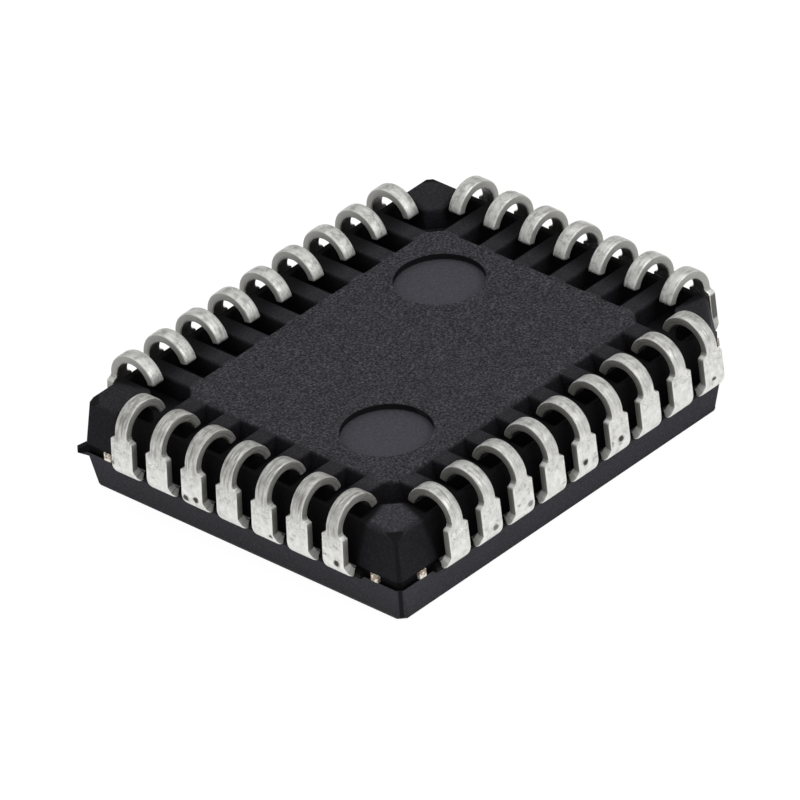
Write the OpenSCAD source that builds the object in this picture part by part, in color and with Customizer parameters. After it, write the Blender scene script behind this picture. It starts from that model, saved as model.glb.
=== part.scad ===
// Plastic leaded chip carrier: a moulded chip package with a row of J-shaped leads on each of its
// four sides. It lies on its marked face, so the leads and the underside point up. X runs along the
// longer rows of leads, Y along the shorter rows, and Z is 0 at the marked face.

/* [Body] */
// Length of the moulded body along X, at the parting line
body_l = 13.97; // [12.8:0.01:15.2]
// Width of the moulded body along Y, at the parting line
body_w = 11.43; // [10.4:0.01:12.6]
// Height of the underside over the marked face
under_z = 2.73; // [2.6:0.01:2.85]
// Lean of the side walls on the marked side of the lead frame, in degrees
low_draft = 6; // [3:0.5:10]
// Lean of the side walls on the underside of the lead frame, in degrees
up_draft = 8; // [5:0.5:10]
// Lean of the corner walls on the marked side of the lead frame, in degrees
corner_draft = 13; // [6:0.5:15]
// Radius of the edge round the marked face
edge_r = 0.25; // [0.1:0.05:0.4]
// Leg of the cut across the index corner
index_cut = 1.15; // [0.9:0.05:1.3]
// Leg of the cut across each of the other three corners
corner_cut = 0.14; // [0.05:0.01:0.25]
// Depth of the witness groove round the body, as tall as the lead frame is thick
groove_d = 0.08; // [0.04:0.01:0.15]
// Diameter of the round dimple on the marked face, by the first lead
dimple_d = 1.2; // [0.8:0.1:1.6]
// Depth of that dimple
dimple_depth = 0.08; // [0.04:0.01:0.15]
// Distance of the dimple's centre from the body's end
dimple_in = 1.9; // [1.5:0.1:2.5]

/* [Underside] */
// How far the lead pockets reach in from the side of the body
pocket_in = 1.94; // [1.7:0.02:2.1]
// Distance of the pockets' outer walls from the side of the body
pocket_out = 0.36; // [0.32:0.01:0.5]
// Width of each lead pocket where it opens in the underside
pocket_w = 0.72; // [0.6:0.02:0.8]
// Depth of the lead pockets and of the moats round the corner posts
pocket_d = 0.6; // [0.4:0.05:0.8]
// Lean of the plateau's walls, in degrees
plateau_draft = 15; // [5:1:20]
// Lean of the walls of the ribs and posts, in degrees
rib_draft = 4; // [0:1:6]
// Leg of the cut across each corner of the plateau
plateau_cut = 0.35; // [0.2:0.05:0.45]
// Leg of the cut across the inner corner of each post
post_cut = 0.4; // [0.2:0.05:0.6]
// Height of the small sloped facet at the top of each post's outer corner
facet_h = 0.08; // [0.04:0.01:0.15]
// Height of that facet at the post whose corner is knocked
worn_facet_h = 0.17; // [0.1:0.01:0.25]
// Lean of the facets, in degrees
facet_lean = 53; // [40:1:60]
// Diameter of the two round ejector marks
ejector_d = 2.54; // [2:0.02:2.8]
// Depth of the ejector marks
ejector_depth = 0.2; // [0.1:0.02:0.3]
// Distance of each ejector mark's centre from the body's middle along X
ejector_x = 3.15; // [2.8:0.05:3.4]
// Distance of each ejector mark's centre from the body's middle along Y
ejector_y = 1.9; // [1.6:0.05:2.1]
// How far the fins of resin between the leads stand out of the body's side
fin_out = 0.15; // [0.08:0.01:0.2]
// How far the fins run past the last lead of each row
fin_end = 0.25; // [0.1:0.01:0.35]
// Width of the wedge left by the broken mould gate
gate_w = 0.2; // [0.15:0.01:0.3]
// How far that wedge stands out past the body's corner
gate_out = 0.17; // [0.1:0.01:0.3]
// Height of the wedge at its root
gate_h = 0.6; // [0.4:0.02:0.7]
// Height of the wedge at its broken tip
gate_tip = 0.1; // [0.05:0.01:0.2]
// Height of the wedge's middle over the marked face
gate_z = 1.2; // [1.1:0.02:1.3]

/* [Leads] */
// Number of leads on each longer row, along X
long_count = 9; // [7:2:9]
// Number of leads on each shorter row, along Y
short_count = 7; // [5:2:7]
// Distance between neighbouring leads
pitch = 1.27; // [1.22:0.01:1.3]
// Height of the seating plane, the crown of the leads, over the marked face
seat_z = 3.35; // [3.25:0.01:3.5]
// Height of the lead frame's middle over the marked face
frame_z = 1.27; // [1.2:0.01:1.35]
// Thickness of the lead frame with its plating
lead_t = 0.25; // [0.2:0.01:0.3]
// Width of the lead below its shoulders
lead_w = 0.77; // [0.66:0.01:0.81]
// Width of the lead from its shoulders to its tip
crook_w = 0.43; // [0.33:0.01:0.53]
// Height of the shoulders over the marked face
shoulder_z = 2.4; // [2.2:0.02:2.45]
// Height of the slope on each shoulder
shoulder_h = 0.05; // [0.02:0.01:0.08]
// Straight run of the lead between the side of the body and its knee
knee_gap = 0.01; // [0:0.01:0.1]
// Inner radius of the knee, the bend where the lead turns up beside the body
knee_r = 0.25; // [0.15:0.01:0.3]
// Inward lean of the lead between its knee and its crook, in degrees
leg_lean = 3; // [0:0.5:5]
// Outer radius of the crook
crook_r = 0.82; // [0.7:0.01:0.85]
// Angle over the horizontal at which the crook's tip stops, in degrees
tip_rise = 12; // [0:1:30]
// Length of the lead's straight root inside the body
root_len = 0.7; // [0.5:0.05:0.9]
// Width of the lead's inner finger at its tip
finger_w = 0.35; // [0.25:0.01:0.4]
// Distance between finger tips on the longer rows
long_finger_pitch = 0.75; // [0.65:0.01:0.8]
// Distance between finger tips on the shorter rows
short_finger_pitch = 0.72; // [0.6:0.01:0.75]

/* [Die] */
// Length of the die pad along X
pad_l = 6.2; // [5.8:0.05:6.4]
// Width of the die pad along Y
pad_w = 4.6; // [4.2:0.05:4.8]
// Gap between the die pad and the finger tips
pad_gap = 0.5; // [0.4:0.05:0.7]
// Width of the tie bars that hold the die pad
tie_w = 0.3; // [0.2:0.01:0.32]
// Width of the cut stubs of the tie bars in the body's sides
stub_w = 0.25; // [0.2:0.01:0.3]
// Gap between each stub and the last lead of its row
stub_gap = 0.5; // [0.4:0.01:0.6]
// How far each stub stands out of the body's side
stub_out = 0.05; // [0.02:0.01:0.1]
// Length of the silicon die along X
die_l = 4.8; // [4.2:0.05:5.2]
// Width of the silicon die along Y
die_w = 3.4; // [3:0.05:3.7]
// Thickness of the silicon die
die_t = 0.38; // [0.25:0.01:0.42]
// Thickness of the adhesive under the die
attach_t = 0.03; // [0.02:0.01:0.06]
// How far the adhesive spreads past the die on each side
attach_rim = 0.1; // [0.05:0.01:0.2]
// Diameter of the bond wires
wire_d = 0.033; // [0.025:0.001:0.05]
// Diameter of each bond wire's neck, over its ball bond on the die
neck_d = 0.06; // [0.055:0.001:0.08]
// How far the bond wires stand off the die's face
wire_sag = 0.2; // [0.15:0.01:0.25]
// Distance of the bonds from the die's edge
bond_in = 0.12; // [0.08:0.01:0.2]
// Distance of the bonds from the tip of each finger
stitch_in = 0.2; // [0.12:0.01:0.3]
// Distance between bonds along the die's longer edges
long_bond_pitch = 0.5; // [0.4:0.01:0.52]
// Distance between bonds along the die's shorter edges
short_bond_pitch = 0.45; // [0.35:0.01:0.47]

/* [Hidden] */
$fn = 48;
// Colours of the moulding, the plated leads, the bare frame, the silicon, the adhesive and the wires
mould_colour = "#2d2d30";
lead_colour = "#c9c9c4";
pad_colour = "#c98a5a";
die_colour = "#5a5f6b";
attach_colour = "#b5b5b0";
wire_colour = "#e0b64c";

// Lower and upper faces of the lead frame
frame_low = frame_z - lead_t / 2;
frame_high = frame_z + lead_t / 2;
// Floor of the lead pockets
floor_z = under_z - pocket_d;
// A length past everything, for cutting blocks
span = 2 * (body_l + body_w);

// The eight planes that bound the body in plan, each as a direction and a distance from the middle
function corner_dist(cut) = (body_l / 2 + body_w / 2 - cut) / sqrt(2);
GATE_CORNER = 135;
WORN_CORNER = 225;
INDEX_CORNER = 315;
CORNERS = [45, GATE_CORNER, WORN_CORNER, INDEX_CORNER];
CORNER_WALLS = [for (c = CORNERS) [c, corner_dist(c == INDEX_CORNER ? index_cut : corner_cut)]];
SIDE_WALLS = [for (k = [0 : 3]) [90 * k, side_half(k)]];
WALLS = concat(SIDE_WALLS, CORNER_WALLS);

// Sides are numbered from +X in the order in which the leads are counted: +X, -Y, -X, +Y
function side_half(side) = (side % 2 == 0 ? body_l : body_w) / 2;
function side_count(side) = side % 2 == 0 ? short_count : long_count;
function side_first(side) = [0, short_count, short_count + long_count, 2 * short_count + long_count][side];
function row_half(side) = (side_count(side) - 1) / 2 * pitch;
lead_count = 2 * (short_count + long_count);

// Lead 1 is in the middle of the +X side. Each lead has a side and a step from its row's middle.
function turn(i) = (i - 1 + floor(short_count / 2)) % lead_count;
function side_of(i) = max([for (side = [0 : 3]) if (turn(i) >= side_first(side)) side]);
function step_of(i) = (side_count(side_of(i)) - 1) / 2 - (turn(i) - side_first(side_of(i)));

// Where a finger starts to taper and where it ends, from the middle of the body
function root_x(side) = side_half(side) - root_len;
function finger_x(side) = (side % 2 == 0 ? pad_l : pad_w) / 2 + pad_gap;
function finger_pitch(side) = side % 2 == 0 ? short_finger_pitch : long_finger_pitch;
function bond_x(side) = (side % 2 == 0 ? die_l : die_w) / 2 - bond_in;
function bond_pitch(side) = side % 2 == 0 ? short_bond_pitch : long_bond_pitch;

// Height of the knee's centre, the length of the straight leg over it, and the crook's centre
knee_z = frame_high + knee_r;
crook_set = knee_r + lead_t - crook_r;
leg_len = (seat_z - crook_r - knee_z - crook_set * sin(leg_lean)) / cos(leg_lean);
crook_x = knee_gap - leg_len * sin(leg_lean) + crook_set * cos(leg_lean);
crook_z = seat_z - crook_r;
// Length of the leg up to its shoulders
wide_len = (shoulder_z - knee_z) / cos(leg_lean);

// Faces of the die and the height from its active face to the fingers
die_high = frame_low - attach_t;
die_low = die_high - die_t;
bond_rise = frame_low - die_low;
function lead_name(i) = str("lead_", i < 10 ? "0" : "", i);

// Everything beyond a plane at a distance from the middle, which leans outward by an angle
module beyond(dir, dist, z, lean) {
    rotate([0, 0, dir])
        translate([dist, 0, z])
            rotate([0, lean, 0])
                translate([0, -span / 2, -span / 2]) cube(span);
}

// A slab between two heights, bounded by the given walls
module walled(walls, z0, z1, z_ref, lean, inset = 0) {
    difference() {
        translate([-span / 2, -span / 2, z0]) cube([span, span, z1 - z0]);
        for (w = walls) beyond(w[0], w[1] - inset, z_ref, lean);
    }
}

// What the rounded edge of the marked face takes off one wall, which leans by an angle
module edge_off(dir, dist, lean) {
    foot = dist - frame_low * tan(lean);
    centre = foot + edge_r * (tan(lean) - 1 / cos(lean));
    far = 2 * edge_r;
    rotate([0, 0, dir])
        rotate([90, 0, 0])
            linear_extrude(span, center = true)
                translate([centre, edge_r])
                    difference() {
                        polygon([[0, 0], [0, -far], [far, -far], [far * cos(lean), -far * sin(lean)]]);
                        circle(edge_r);
                    }
}

// The half of the moulding with the marked face
module marked_half() {
    difference() {
        walled(SIDE_WALLS, 0, frame_low, frame_low, low_draft);
        for (w = CORNER_WALLS) beyond(w[0], w[1], frame_low, corner_draft);
        for (w = SIDE_WALLS) edge_off(w[0], w[1], low_draft);
        for (w = CORNER_WALLS) edge_off(w[0], w[1], corner_draft);
        translate([body_l / 2 - dimple_in, 0, -dimple_depth])
            cylinder(d = dimple_d, h = 2 * dimple_depth);
    }
}

// The half of the moulding with the underside, before its pockets are cut
module underside_half() {
    difference() {
        walled(WALLS, frame_high, under_z, frame_high, -up_draft);
        for (w = CORNER_WALLS) {
            facet_z = under_z - (w[0] == WORN_CORNER ? worn_facet_h : facet_h);
            facet_dist = w[1] - (facet_z - frame_high) * tan(up_draft);
            beyond(w[0], facet_dist, facet_z, -facet_lean);
        }
        for (turned = [0, 180])
            rotate([0, 0, turned])
                translate([-ejector_x, -ejector_y, under_z - ejector_depth])
                    cylinder(d = ejector_d, h = 2 * ejector_depth);
    }
}

// The raised middle of the underside, inside the ring of pockets
module plateau() {
    long_in = body_l / 2 - pocket_in;
    wide_in = body_w / 2 - pocket_in;
    cut_dist = (long_in + wide_in - plateau_cut) / sqrt(2);
    sides = [[0, long_in], [90, wide_in], [180, long_in], [270, wide_in]];
    walled(concat(sides, [for (c = CORNERS) [c, cut_dist]]), frame_high, under_z, under_z, -plateau_draft);
}

// A rib between two neighbouring pockets, from inside the plateau's wall out past the side of the body
module rib() {
    top = (pitch - pocket_w) / 2;
    foot = top + (under_z - frame_high) * tan(rib_draft);
    rotate([90, 0, 90])
        linear_extrude(span / 4)
            polygon([[-foot, frame_high], [foot, frame_high], [top, under_z], [-top, under_z]]);
}

module ribs() {
    for (side = [0 : 3])
        rotate([0, 0, -90 * side])
            for (k = [1 : side_count(side) - 1])
                translate([side_half(side) - pocket_in - plateau_cut, row_half(side) - (k - 0.5) * pitch, 0])
                    rib();
}

// The four posts that stand at the corners, past the last pocket of each row
module posts() {
    post_x = row_half(1) + pocket_w / 2;
    post_y = row_half(0) + pocket_w / 2;
    cut_dist = (post_x + post_y + post_cut) / sqrt(2);
    for (flip_x = [0, 1], flip_y = [0, 1])
        mirror([flip_x, 0, 0])
            mirror([0, flip_y, 0])
                difference() {
                    translate([0, 0, frame_high]) cube([span / 4, span / 4, under_z - frame_high]);
                    beyond(180, -post_x, under_z, -rib_draft);
                    beyond(270, -post_y, under_z, -rib_draft);
                    beyond(225, -cut_dist, under_z, -rib_draft);
                }
}

// The ring of pockets and moats, which a thin wall closes at the sides of the body
module pockets() {
    difference() {
        walled(SIDE_WALLS, floor_z, under_z + ejector_depth, under_z, rib_draft, pocket_out);
        plateau();
        ribs();
        posts();
    }
}

// The fins of resin between the leads, as thick as the lead frame, where the frame's bars dammed the mould
module fins() {
    for (side = [0 : 3]) {
        half = row_half(side) + lead_w / 2 + fin_end;
        long = root_len + fin_out;
        rotate([0, 0, -90 * side])
            translate([root_x(side), 0, frame_low])
                difference() {
                    translate([0, -half, 0]) cube([long, 2 * half, lead_t]);
                    for (k = [1 : side_count(side)])
                        translate([-long, row_half(side) - (k - 1) * pitch - lead_w / 2, -lead_t])
                            cube([3 * long, lead_w, 3 * lead_t]);
                }
    }
}

// The wedge of resin that stayed on the corner where the mould's gate was broken off
module gate() {
    root = gate_w + sqrt(2) * corner_cut;
    translate([-body_l / 2, body_w / 2, gate_z])
        rotate([0, 0, GATE_CORNER])
            rotate([90, 0, 0])
                linear_extrude(gate_w, center = true)
                    polygon([
                        [-root, -gate_h / 2], [gate_out, -gate_tip / 2],
                        [gate_out, gate_tip / 2], [-root, gate_h / 2],
                    ]);
}

// The one-piece moulding, with a seat for everything that it was moulded round
module mould_body() {
    color(mould_colour)
        difference() {
            union() {
                marked_half();
                walled(WALLS, frame_low, frame_high, frame_low, 0, groove_d);
                difference() {
                    underside_half();
                    pockets();
                }
                fins();
                gate();
            }
            for (i = [1 : lead_count]) lead_plate(i);
            pad_plate();
            attach_block();
            die_block();
            for (i = [1 : lead_count]) wire(i);
        }
}

// The flat part of a lead, from its finger tip by the die pad to its knee outside the body
module lead_plate(i) {
    side = side_of(i);
    s = step_of(i) * pitch;
    tip = step_of(i) * finger_pitch(side);
    out_x = side_half(side) + knee_gap;
    rotate([0, 0, -90 * side])
        translate([0, 0, frame_low])
            linear_extrude(lead_t)
                polygon([
                    [out_x, s - lead_w / 2], [out_x, s + lead_w / 2],
                    [root_x(side), s + lead_w / 2], [finger_x(side), tip + finger_w / 2],
                    [finger_x(side), tip - finger_w / 2], [root_x(side), s - lead_w / 2],
                ]);
}

// A bend in a strip: it sweeps about Y, from an angle that is counted from +X towards +Z
module bend(inner_r, width, from, sweep) {
    rotate([90, 0, 0])
        rotate([0, 0, from])
            rotate_extrude(angle = sweep)
                translate([inner_r, -width / 2]) square([lead_t, width]);
}

// The part of a lead outside the body: its knee, its shouldered leg and its crook
module lead_hook() {
    translate([knee_gap, 0, knee_z]) {
        bend(knee_r, lead_w, -90, 90 + leg_lean);
        rotate([0, -leg_lean, 0])
            translate([knee_r, 0, 0])
                rotate([90, 0, 90])
                    linear_extrude(lead_t) {
                        w = lead_w / 2;
                        c = crook_w / 2;
                        narrow = wide_len + shoulder_h;
                        polygon([
                            [-w, 0], [w, 0], [w, wide_len], [c, narrow],
                            [c, leg_len], [-c, leg_len], [-c, narrow], [-w, wide_len],
                        ]);
                    }
    }
    translate([crook_x, 0, crook_z]) bend(crook_r - lead_t, crook_w, leg_lean, 180 - tip_rise - leg_lean);
}

module lead(i) {
    color(lead_colour) {
        lead_plate(i);
        rotate([0, 0, -90 * side_of(i)])
            translate([side_half(side_of(i)), step_of(i) * pitch, 0]) lead_hook();
    }
}

// The pad that carries the die, with a tie bar to each corner that forks into two cut stubs
module pad_plate() {
    past_row = lead_w / 2 + stub_gap + stub_w / 2;
    fork_x = row_half(1) + past_row;
    fork_y = row_half(0) + past_row;
    translate([-pad_l / 2, -pad_w / 2, frame_low]) cube([pad_l, pad_w, lead_t]);
    intersection() {
        walled(WALLS, frame_low, frame_high, frame_low, 0, -stub_out);
        for (flip_x = [0, 1], flip_y = [0, 1])
            mirror([flip_x, 0, 0])
                mirror([0, flip_y, 0]) {
                    run = [fork_x - pad_l / 2, fork_y - pad_w / 2];
                    translate([pad_l / 2, pad_w / 2, frame_low])
                        rotate([0, 0, atan2(run[1], run[0])])
                            translate([-tie_w, -tie_w / 2, 0]) cube([norm(run) + tie_w, tie_w, lead_t]);
                    translate([fork_x - stub_w / 2, fork_y - stub_w / 2, frame_low])
                        cube([span / 4, stub_w, lead_t]);
                    translate([fork_x - stub_w / 2, fork_y - stub_w / 2, frame_low])
                        cube([stub_w, span / 4, lead_t]);
                }
    }
}

module die_pad() {
    color(pad_colour) pad_plate();
}

module attach_block() {
    long = die_l + 2 * attach_rim;
    wide = die_w + 2 * attach_rim;
    translate([-long / 2, -wide / 2, die_high]) cube([long, wide, attach_t]);
}

module die_attach() {
    color(attach_colour) attach_block();
}

module die_block() {
    translate([-die_l / 2, -die_w / 2, die_low]) cube([die_l, die_w, die_t]);
}

module silicon_die() {
    color(die_colour) die_block();
}

// One bond wire: a neck that stands on the die's face and a straight run from it to the finger of a lead,
// trimmed flush with the finger
module wire(i) {
    side = side_of(i);
    s = step_of(i) * pitch;
    tip = step_of(i) * finger_pitch(side);
    share = stitch_in / (root_x(side) - finger_x(side));
    bond = [bond_x(side), step_of(i) * bond_pitch(side)];
    stitch = [finger_x(side) + stitch_in, tip + (s - tip) * share];
    run = norm(stitch - bond);
    rise = bond_rise + wire_sag;
    difference() {
        rotate([0, 0, -90 * side])
            translate([bond[0], bond[1], die_low - wire_sag]) {
                translate([0, 0, -wire_d]) cylinder(d = neck_d, h = wire_sag + wire_d);
                rotate([0, 0, atan2(stitch[1] - bond[1], stitch[0] - bond[0])])
                    rotate([0, atan2(run, rise), 0])
                        cylinder(d = wire_d, h = norm([run, rise]) + lead_t / 2);
            }
        translate([-span / 2, -span / 2, frame_low]) cube([span, span, lead_t]);
    }
}

module bond_wires() {
    color(wire_colour)
        for (i = [1 : lead_count]) wire(i);
}

mould_body();
for (i = [1 : lead_count]) lead(i);
die_pad();
die_attach();
silicon_die();
bond_wires();
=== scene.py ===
"""Looks of a plastic leaded chip carrier that lies on its marked face, with its J-shaped leads up."""

from __future__ import annotations

import logging
import math
import random
from dataclasses import dataclass, field
from enum import Enum

import bmesh
import bpy
from mathutils import Matrix, Vector


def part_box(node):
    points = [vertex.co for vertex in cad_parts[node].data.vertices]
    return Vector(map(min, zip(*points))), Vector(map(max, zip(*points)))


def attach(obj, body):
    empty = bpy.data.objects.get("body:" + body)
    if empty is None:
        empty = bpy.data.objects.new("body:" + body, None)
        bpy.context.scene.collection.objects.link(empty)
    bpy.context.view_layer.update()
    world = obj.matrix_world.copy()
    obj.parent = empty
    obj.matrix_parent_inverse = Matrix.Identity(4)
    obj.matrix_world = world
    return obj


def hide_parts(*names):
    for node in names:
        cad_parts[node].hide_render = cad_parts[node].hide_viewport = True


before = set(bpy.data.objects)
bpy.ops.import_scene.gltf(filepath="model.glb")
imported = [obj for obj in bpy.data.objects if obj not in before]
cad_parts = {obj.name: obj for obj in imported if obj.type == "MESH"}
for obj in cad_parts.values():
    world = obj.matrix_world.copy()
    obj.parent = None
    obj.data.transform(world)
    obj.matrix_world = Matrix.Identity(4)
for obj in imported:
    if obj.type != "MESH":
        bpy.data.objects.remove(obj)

LOG = logging.getLogger("chip_carrier")
MM = 0.001
BODY = "root"
# The moulding's length and width, in mm
BODY_L = 13.97
BODY_W = 11.43
# Points nearer than this, in metres, are merged.
MERGE = 1e-7
# A range that eases in and out at its ends
SOFT = {"interpolation_type": "SMOOTHSTEP"}
# A noise's own grid is turned by these angles, in radians, because faces that lie along it would show it.
GRID_TURN = (0.5, 0.3, 0.4)


def linear(code: str) -> tuple[float, float, float, float]:
    """Turns an sRGB hex colour into linear values.

    Args:
        code: The colour, such as "#2d2d30".

    Returns:
        Red, green, blue and an alpha of 1.
    """
    channels = [int(code[k : k + 2], 16) / 255 for k in (1, 3, 5)]
    flat = [c / 12.92 if c <= 0.04045 else ((c + 0.055) / 1.055) ** 2.4 for c in channels]
    return (flat[0], flat[1], flat[2], 1.0)


def add_node(
    tree: bpy.types.NodeTree, kind: str, links: dict | None = None, stops: tuple = (), **settings: object
) -> bpy.types.Node:
    """Adds a node with its settings and its links.

    Args:
        tree: The node tree to add it to.
        kind: The node's type name, without "ShaderNode".
        links: Input names or numbers, each with a node or a socket to link, or a value to set.
        stops: The places and hex colours of a colour ramp's stops.
        settings: Properties of the node.

    Returns:
        The node.
    """
    node = tree.nodes.new("ShaderNode" + kind)
    for name, value in settings.items():
        setattr(node, name, value)
    for key, value in (links or {}).items():
        if isinstance(value, bpy.types.Node):
            value = next(out for out in value.outputs if out.enabled)
        if isinstance(value, bpy.types.NodeSocket):
            tree.links.new(value, node.inputs[key])
        else:
            node.inputs[key].default_value = value
    for number, (place, code) in enumerate(stops):
        band = node.color_ramp.elements
        stop = band[number] if number < len(band) else band.new(1.0)
        stop.position = place
        stop.color = linear(code)
    return node


def fresh_material(name: str) -> tuple[bpy.types.Material, bpy.types.NodeTree]:
    """Makes a material with an empty node tree.

    Args:
        name: The material's name.

    Returns:
        The material and its tree.
    """
    material = bpy.data.materials.new(name)
    material.use_nodes = True
    material.node_tree.nodes.clear()
    return material, material.node_tree


class Row(Enum):
    """A side of the body, in the order in which the leads are counted, as quarter turns from +X."""

    EAST = 0
    SOUTH = 1
    WEST = 2
    NORTH = 3

    @property
    def short(self) -> bool:
        """Whether the row lies along Y, the shorter way."""
        return self.value % 2 == 0

    @property
    def mirrored(self) -> bool:
        """Whether the row's leads are the model's mirror image."""
        return self in (Row.WEST, Row.NORTH)

    @property
    def plated(self) -> float:
        """How much painted sheen the row's crook sides get, and painted shade its wide sides, from 0 to 1."""
        return {Row.SOUTH: 0.0, Row.WEST: 0.4}.get(self, 1.0)

    @property
    def crook_dulling(self) -> float:
        """How much the row's crooks are darkened with painted shade and streaked, from 0 to 1."""
        return {Row.SOUTH: 0.5, Row.WEST: 1.0}.get(self, 0.3)


@dataclass(frozen=True)
class MouldedEpoxy:
    """Black epoxy moulding compound, filled with silica and moulded in a spark-eroded steel tool.

    It gives the eye a dull charcoal with a pebbled grain on its flat faces, softer on the corner posts. The
    round ejector marks have a smoother floor, paler with a painted sheen, and a wall darkened with painted
    shade. The ribs, pockets and the walls behind the leads and on the posts are smoother, and darker with
    painted shade, near black in the groove with a painted shadow. The posts' rims carry painted shade, and
    the low half painted light, paler upwards.
    """

    colour: str = "#36353a"
    pit: str = "#1a1a1c"
    grit: str = "#58575d"
    roughness: float = 0.7
    specular: float = 0.08
    # The tool's pits are 0.02 to 0.04 mm across, too fine to show, so the grain is drawn at 0.065 mm.
    grain_mm: float = 0.065
    grain_depth_mm: float = 0.02
    # Patches of filler about 0.4 mm across make the tone uneven, between these two levels.
    cloud_mm: float = 0.4
    cloud_tones: tuple[float, float] = (0.87, 1.13)
    # Half sizes that bound each finish, in mm: the plateau, the posts' inner sides and their tops' rims.
    plateau: tuple[float, float, float] = (5.045, 3.775, 0.0)
    post: tuple[float, float, float] = (5.44, 4.17, 0.0)
    rim: tuple[float, float, float] = (6.8, 5.53, 0.0)
    # Heights in mm: the underside, the floor of the round marks, and both sides of the groove for the leads.
    under_z: float = 2.73
    mark_z: float = 2.53
    groove: tuple[float, float] = (1.145, 1.395)
    # A post shades off along lines that turn away from its sides by this slope.
    fan: float = 0.27
    # On the cut corners the half sizes add up to this, once the heights' shares below are added: the low
    # half's draft, the upper half's draft and the facet at the top. Each share is a height in mm, its
    # direction and its slope.
    corner: float = 12.56
    corner_shares: tuple[tuple[float, int, float], ...] = (
        (1.145, -1, 0.327), (1.395, 1, 0.2), (2.56, 1, 1.67),
    )
    # In the middle of a cut corner the half sizes differ by this, and its dark line widens by this slope.
    corner_apart: float = 1.27
    corner_spread: float = 3.0

    def measures(self, tree: bpy.types.NodeTree, mm: bpy.types.Node) -> dict[str, object]:
        """Measures where a point lies on the moulding, in mm.

        Args:
            tree: The material's node tree.
            mm: The Object coordinates in mm.

        Returns:
            Its height, and its distances from the plateau, the posts and the cut corners, by name.
        """
        at = add_node(tree, "SeparateXYZ", {0: mm}).outputs
        half = add_node(tree, "VectorMath", {0: mm}, operation="ABSOLUTE")
        halves = add_node(tree, "SeparateXYZ", {0: half}).outputs
        past = []
        for size in (self.plateau, self.rim, self.post):
            shift = add_node(tree, "VectorMath", {0: half, 1: size}, operation="SUBTRACT")
            past.append(add_node(tree, "SeparateXYZ", {0: shift}).outputs)
        out, rim = (
            add_node(tree, "Math", {0: axes["X"], 1: axes["Y"]}, operation="MAXIMUM") for axes in past[:2]
        )
        # A post is darkened with painted shade towards the pockets beside it, from its inner corner,
        # and sooner at its top.
        fans = [
            add_node(tree, "Math", {0: past[2][b], 1: -self.fan, 2: past[2][a]}, operation="MULTIPLY_ADD")
            for a, b in ("XY", "YX")
        ]
        post = add_node(tree, "Math", {0: fans[0], 1: fans[1]}, operation="MINIMUM")
        post = add_node(tree, "Math", {0: at["Z"], 1: -self.fan, 2: post}, operation="MULTIPLY_ADD")
        toward = add_node(tree, "Math", {0: at["X"], 1: at["Y"]}, operation="ADD")
        reach = add_node(tree, "Math", {0: halves["X"], 1: halves["Y"]}, operation="ADD")
        for level, way, slope in self.corner_shares:
            rise = add_node(tree, "Math", {0: at["Z"], 1: way, 2: -way * level}, operation="MULTIPLY_ADD")
            rise = add_node(tree, "Math", {0: rise, 1: 0.0}, operation="MAXIMUM")
            reach = add_node(tree, "Math", {0: rise, 1: slope, 2: reach}, operation="MULTIPLY_ADD")
        # The dark line keeps to the middle of the cut corner, and widens over the facet at its top.
        apart = add_node(tree, "Math", {0: halves["X"], 1: halves["Y"]}, operation="SUBTRACT")
        apart = add_node(tree, "Math", {0: apart, 1: self.corner_apart}, operation="SUBTRACT")
        apart = add_node(tree, "Math", {0: apart}, operation="ABSOLUTE")
        apart = add_node(tree, "Math", {0: rise, 1: -self.corner_spread, 2: apart}, operation="MULTIPLY_ADD")
        return {
            "z": at["Z"], "out": out, "rim": rim, "post": post, "toward": toward, "reach": reach,
            "apart": apart,
        }

    def masks(self, tree: bpy.types.NodeTree, far: dict[str, object]) -> dict[str, object]:
        """Works out where each finish of the moulding lies.

        Args:
            tree: The material's node tree.
            far: The measures of a point, by name.

        Returns:
            The masks, from 0 to 1, by name.
        """
        top, floor, (low, _) = self.under_z, self.mark_z, self.groove
        fan = self.fan * top
        masks: dict[str, object] = {}
        # Each row has a mask's name, its measure, where it starts, where it is full and the mask that it
        # is kept within.
        for name, measure, start, full, within in (
            # The ribs and pockets lie in a ring round the plateau, between the posts.
            ("off_post", "post", 0.07 - fan, -0.13 - fan, 1.0),
            ("ring", "out", 0.0, 0.6, "off_post"),
            # Only the post at the -X, -Y corner is scuffed and pale, and the other three are smooth and dark.
            ("scuffed", "out", -0.05, 0.1, 1.0),
            ("other_posts", "toward", -9.0, -8.0, 1.0),
            ("smooth", "out", -0.05, 0.1, "other_posts"),
            # The posts' tops are darkened with painted shade towards the body's sides, where they would round
            # off.
            ("rim_shade", "rim", -0.24, -0.02, 1.0),
            # The round marks are the only places inside the plateau that lie below it.
            ("inside", "out", -0.1, -0.2, 1.0),
            ("outside", "out", -0.2, -0.1, 1.0),
            ("mark_wall", "z", top - 0.004, top - 0.02, "inside"),
            ("mark", "z", floor + 0.03, floor + 0.01, "inside"),
            # The pockets and the walls behind the leads reach down to the low half.
            ("above", "z", low - 0.01, low, "outside"),
            ("wall", "z", top - 0.02, top - 0.14, "above"),
            ("low", "z", low - 0.002, low - 0.02, 1.0),
            # A dark line runs down each cut corner.
            ("middle", "apart", 0.12, 0.04, 1.0),
            ("strip", "reach", self.corner - 0.08, self.corner - 0.02, "middle"),
        ):
            masks[name] = add_node(tree, "MapRange", {
                "Value": far[measure], "From Min": start, "From Max": full,
                "To Max": masks.get(within, within),
            }, **SOFT)
        return masks

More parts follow.
